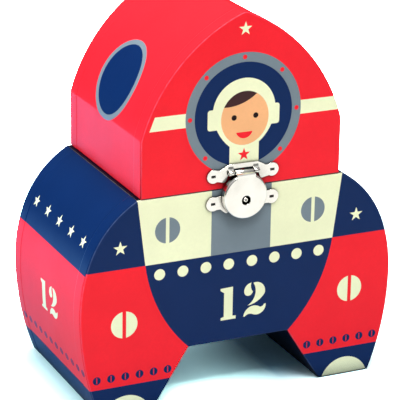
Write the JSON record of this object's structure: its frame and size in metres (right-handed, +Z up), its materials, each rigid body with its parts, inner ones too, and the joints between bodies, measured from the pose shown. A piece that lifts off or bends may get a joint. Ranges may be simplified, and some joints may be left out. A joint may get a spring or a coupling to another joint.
{
  "type": "toy keepsake box",
  "caption": "Lidded keepsake box in the shape of a toy space rocket on two legs, covered in printed paper and closed by a small hasp lock.",
  "frame": {"origin": "on the floor, at the middle of the whole object's width and depth with the lock and the hinge strip included", "axes": "+X to the right as seen from the front, +Y from the front with the lock towards the back with the hinge, +Z up"},
  "size_m": [0.1522, 0.0882, 0.1775],
  "materials": {
    "red_sheet": "printed, gloss laminated",
    "navy_sheet": "printed, gloss laminated",
    "lining": "uncoated",
    "binding": "satin",
    "greyboard": "raw",
    "hinge_cloth": "book cloth",
    "nickel": "polished nickel plate",
    "spring_steel": "plain"
  },
  "bodies": {
    "base": {"base_front_sheet": "red_sheet", "base_back_sheet": "red_sheet", "base_left_sheet": "red_sheet", "base_right_sheet": "red_sheet", "arch_sheet": "navy_sheet", "left_foot_sheet": "navy_sheet", "right_foot_sheet": "navy_sheet", "base_front_board": "greyboard", "base_back_board": "greyboard", "base_left_board": "greyboard", "base_right_board": "greyboard", "arch_board": "greyboard", "left_foot_board": "greyboard", "right_foot_board": "greyboard", "compartment_floor": "greyboard", "base_front_lining": "lining", "base_back_lining": "lining", "base_left_lining": "lining", "base_right_lining": "lining", "floor_lining": "lining", "base_rim_binding": "binding", "hinge_cloth_base_leaf": "hinge_cloth", "strike_plate": "nickel"},
    "lid": {"lid_front_sheet": "red_sheet", "lid_back_sheet": "red_sheet", "lid_roof_sheet": "red_sheet", "lid_front_board": "greyboard", "lid_back_board": "greyboard", "lid_roof_board": "greyboard", "lid_front_lining": "lining", "lid_back_lining": "lining", "lid_roof_lining": "lining", "lid_rim_binding": "binding", "hinge_cloth_lid_leaf": "hinge_cloth", "hasp_plate": "nickel", "hasp_pin": "nickel"},
    "lock_case": {"lock_case": "nickel", "lock_back_plate": "nickel", "key_post": "nickel", "bolt_spring": "spring_steel"},
    "lock_bolt": {"lock_bolt": "spring_steel"}
  },
  "joints": [
    {"name": "lid_hinge", "type": "hinge", "parent": "base", "child": "lid", "pos_m": [0, 0.04415, 0.09905], "axis": [-1, 0, 0], "range_deg": [0, 110]},
    {"name": "hasp_hinge", "type": "hinge", "parent": "lid", "child": "lock_case", "pos_m": [0, -0.04115, 0.1063], "axis": [-1, 0, 0], "range_deg": [0, 115]},
    {"name": "bolt_slide", "type": "slide", "parent": "lock_case", "child": "lock_bolt", "axis": [-1, 0, 0], "range_m": [0, 0.002]}
  ]
}
